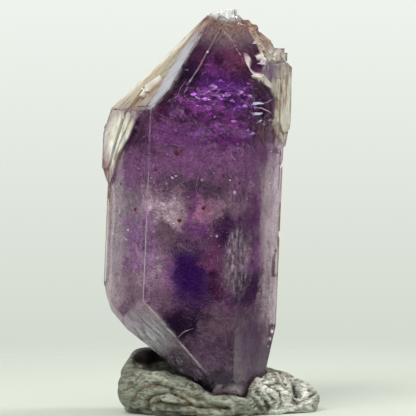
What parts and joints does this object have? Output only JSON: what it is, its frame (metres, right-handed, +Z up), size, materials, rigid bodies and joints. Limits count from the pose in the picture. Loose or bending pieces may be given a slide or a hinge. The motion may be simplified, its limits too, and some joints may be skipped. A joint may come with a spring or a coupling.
{
  "type": "skeletal phantom amethyst point",
  "caption": "Doubly faceted purple quartz point with a ribbed skeletal head and a ghost crystal inside, held upright by a lump of grey display putty.",
  "frame": {"origin": "middle of the whole specimen's footprint, on the surface that the putty stands on", "axes": "+Z up, along the crystal's length; -Y is the crystal's front face, +X to its right"},
  "size_m": [0.0351, 0.0201, 0.0644],
  "materials": {
    "amethyst": "clear to cloudy quartz, violet, with pale stained ribs at its head",
    "putty": "kneaded grey-green mounting putty with creases"
  },
  "bodies": {
    "root": {"crystal": "amethyst", "putty": "putty"}
  },
  "joints": []
}
